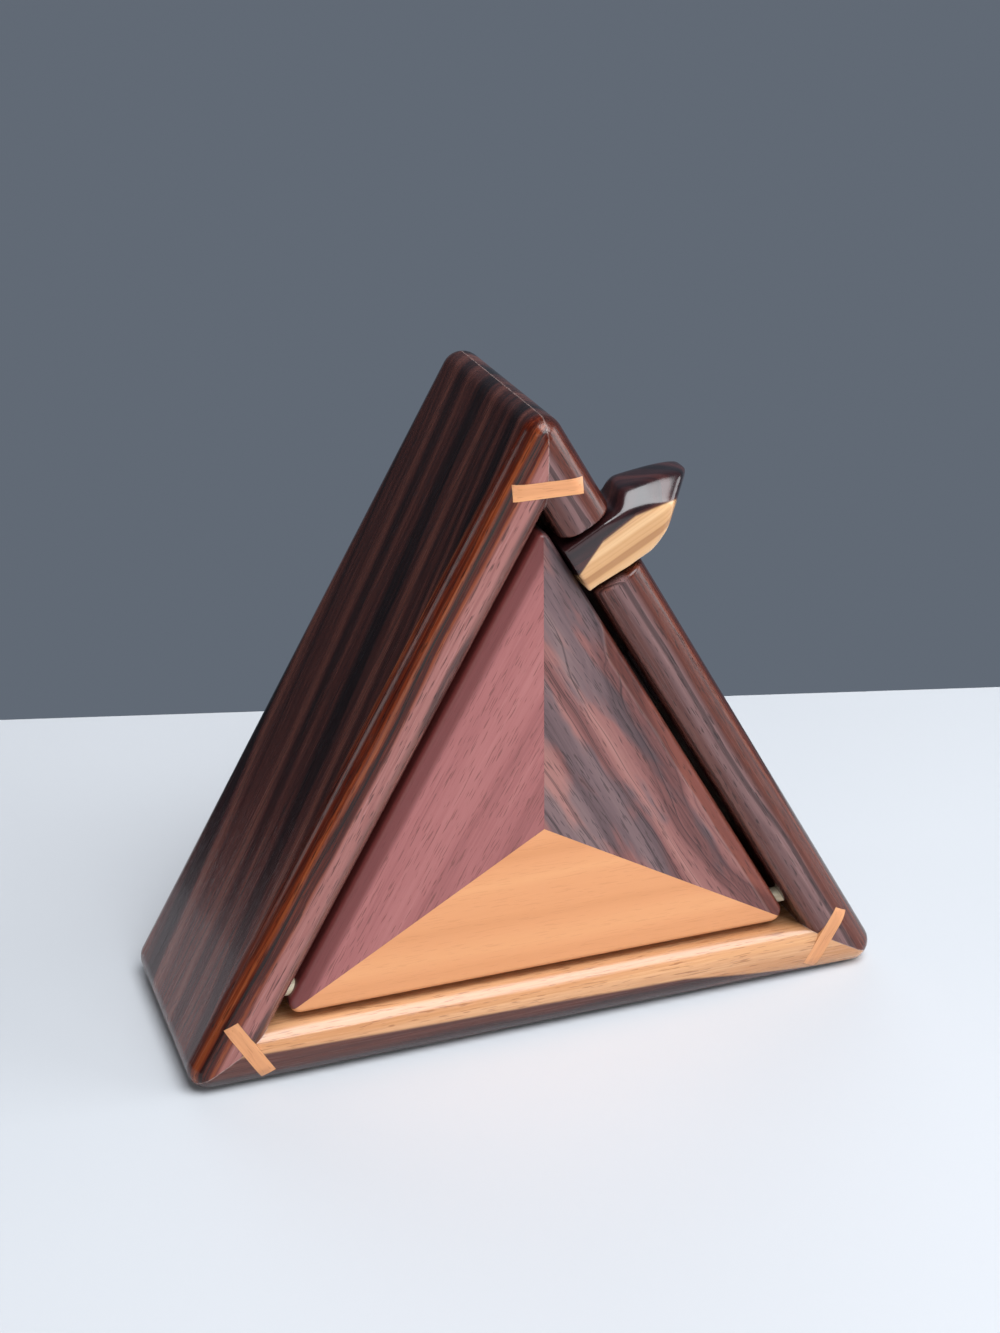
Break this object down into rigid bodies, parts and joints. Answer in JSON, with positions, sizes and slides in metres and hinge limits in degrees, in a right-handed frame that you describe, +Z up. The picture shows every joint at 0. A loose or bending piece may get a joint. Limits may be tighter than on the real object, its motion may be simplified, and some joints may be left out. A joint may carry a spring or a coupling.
{
  "type": "wooden puzzle box",
  "caption": "Triangular wooden box with splined mitres; its three-wood door tilts out on corner dowels and is locked by a small rocking lever in a notch.",
  "frame": {"origin": "centre of the rectangle that the box stands on, on the table", "axes": "+Z up; +X to the right for someone facing the door, towards the side with the lever; +Y from the door to the back panel"},
  "size_m": [0.1454, 0.053, 0.127],
  "materials": {
    "cocobolo": "oiled, glossy, dark striped grain",
    "spline_maple": "oiled, glossy, pale",
    "bloodwood": "oiled, glossy, fine straight grain",
    "figured_cocobolo": "oiled, glossy, dark and orange streaks",
    "pearwood": "oiled, glossy, even orange",
    "blackwood": "oiled, glossy, dark heartwood with a pale sapwood side",
    "birch": "bare, satin",
    "maple": "bare, satin",
    "brass": "bright, turned"
  },
  "bodies": {
    "case": {"left_board": "cocobolo", "right_board": "cocobolo", "bottom_board": "cocobolo", "top_spline": "spline_maple", "left_spline": "spline_maple", "right_spline": "spline_maple", "hinge_pin_left": "birch", "hinge_pin_right": "birch", "latch_keeper": "maple", "door_stop": "maple", "back_panel_left": "bloodwood", "back_panel_right": "figured_cocobolo", "back_panel_bottom": "pearwood", "back_ledge_left": "maple", "back_ledge_right": "maple", "back_ledge_bottom": "maple"},
    "door": {"door_left": "bloodwood", "door_right": "figured_cocobolo", "door_bottom": "pearwood", "pivot_washer": "brass", "pivot_screw": "brass", "screw_washer": "brass"},
    "lever": {"lever": "blackwood", "latch_bar": "maple", "latch_dowel": "birch"}
  },
  "joints": [
    {"name": "door_hinge", "type": "hinge", "parent": "case", "child": "door", "pos_m": [0, -0.0205, 0.0175], "axis": [1, 0, 0], "range_deg": [0, 95]},
    {"name": "lever_pivot", "type": "hinge", "parent": "door", "child": "lever", "pos_m": [0.00278, -0.0145, 0.09583], "axis": [0, 1, 0], "range_deg": [-3, 3]}
  ]
}
